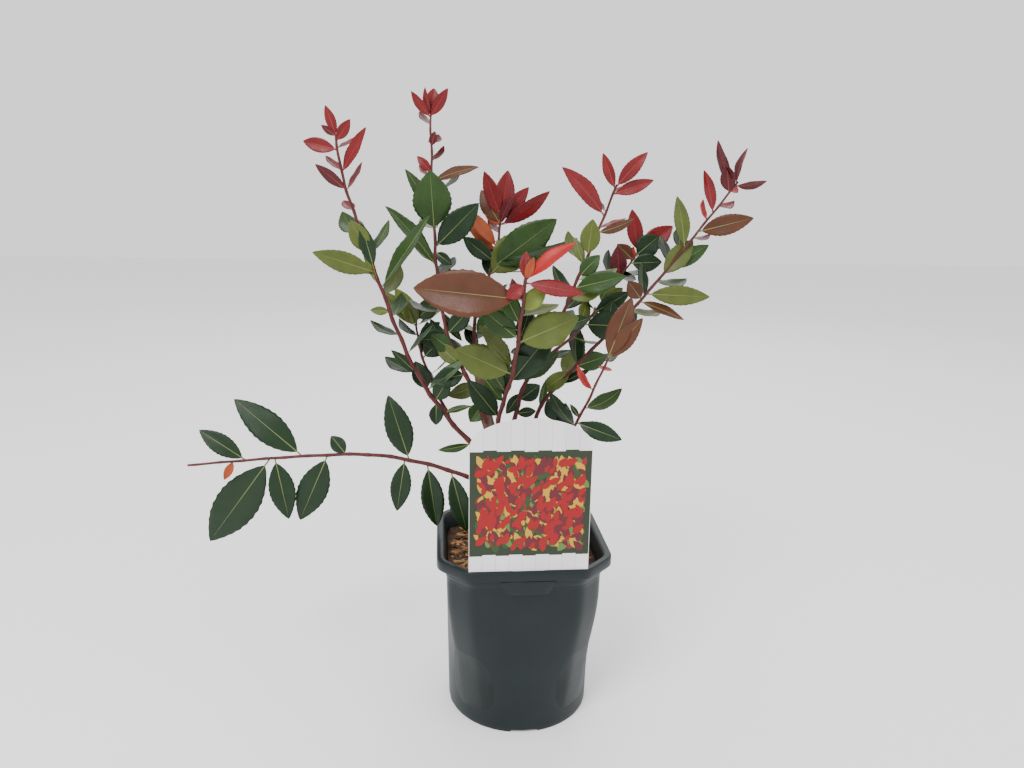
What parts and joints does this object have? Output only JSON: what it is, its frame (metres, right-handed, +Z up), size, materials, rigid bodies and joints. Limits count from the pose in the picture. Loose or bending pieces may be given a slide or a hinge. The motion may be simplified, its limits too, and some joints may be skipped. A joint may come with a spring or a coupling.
{
  "type": "potted photinia shrub",
  "caption": "Young red-tipped photinia shrub in a square-topped nursery pot with a plain plant card, one trunk and spreading boughs.",
  "frame": {"origin": "centre of the pot's flat underside", "axes": "+Z up along the pot, -Y towards the side of the pot that carries the plant card"},
  "size_m": [0.5521, 0.2713, 0.618],
  "materials": {
    "pot_plastic": "satin",
    "card": "satin",
    "mulch": "matte",
    "bark": "satin",
    "red_leaf": "satin",
    "green_leaf": "satin"
  },
  "bodies": {
    "root": {"pot": "pot_plastic", "label_pocket": "pot_plastic", "label_card": "card", "soil": "mulch", "trunk": "bark", "bough_low_left": "bark", "bough_left": "bark", "bough_back_left": "bark", "bough_tall": "bark", "bough_back": "bark", "bough_front": "bark", "bough_right": "bark", "bough_back_right": "bark", "bough_far_right": "bark", "bough_low_right": "bark", "leaves_left_tip": "red_leaf", "leaves_left_upper": "green_leaf", "leaves_tall_tip": "red_leaf", "leaves_tall_middle": "green_leaf", "leaves_back_top": "red_leaf", "leaves_back_middle": "green_leaf", "leaves_front_top": "red_leaf", "leaves_front_lower": "green_leaf", "leaves_right_tip": "red_leaf", "leaves_right_middle": "green_leaf", "leaves_back_right": "green_leaf", "leaves_far_tip": "red_leaf", "leaves_far_middle": "green_leaf", "leaves_low_right_tip": "red_leaf", "leaves_back_left": "green_leaf", "leaves_left_middle": "green_leaf", "leaves_left_lower": "green_leaf", "leaves_trunk_top": "red_leaf", "leaves_right_lower": "green_leaf", "leaves_foot_right": "green_leaf", "pad_low_left_foot": "green_leaf", "pad_low_left_inner": "green_leaf", "pad_low_left_middle": "green_leaf", "pad_low_left_outer": "green_leaf", "pad_low_left_tip": "green_leaf"}
  },
  "joints": []
}
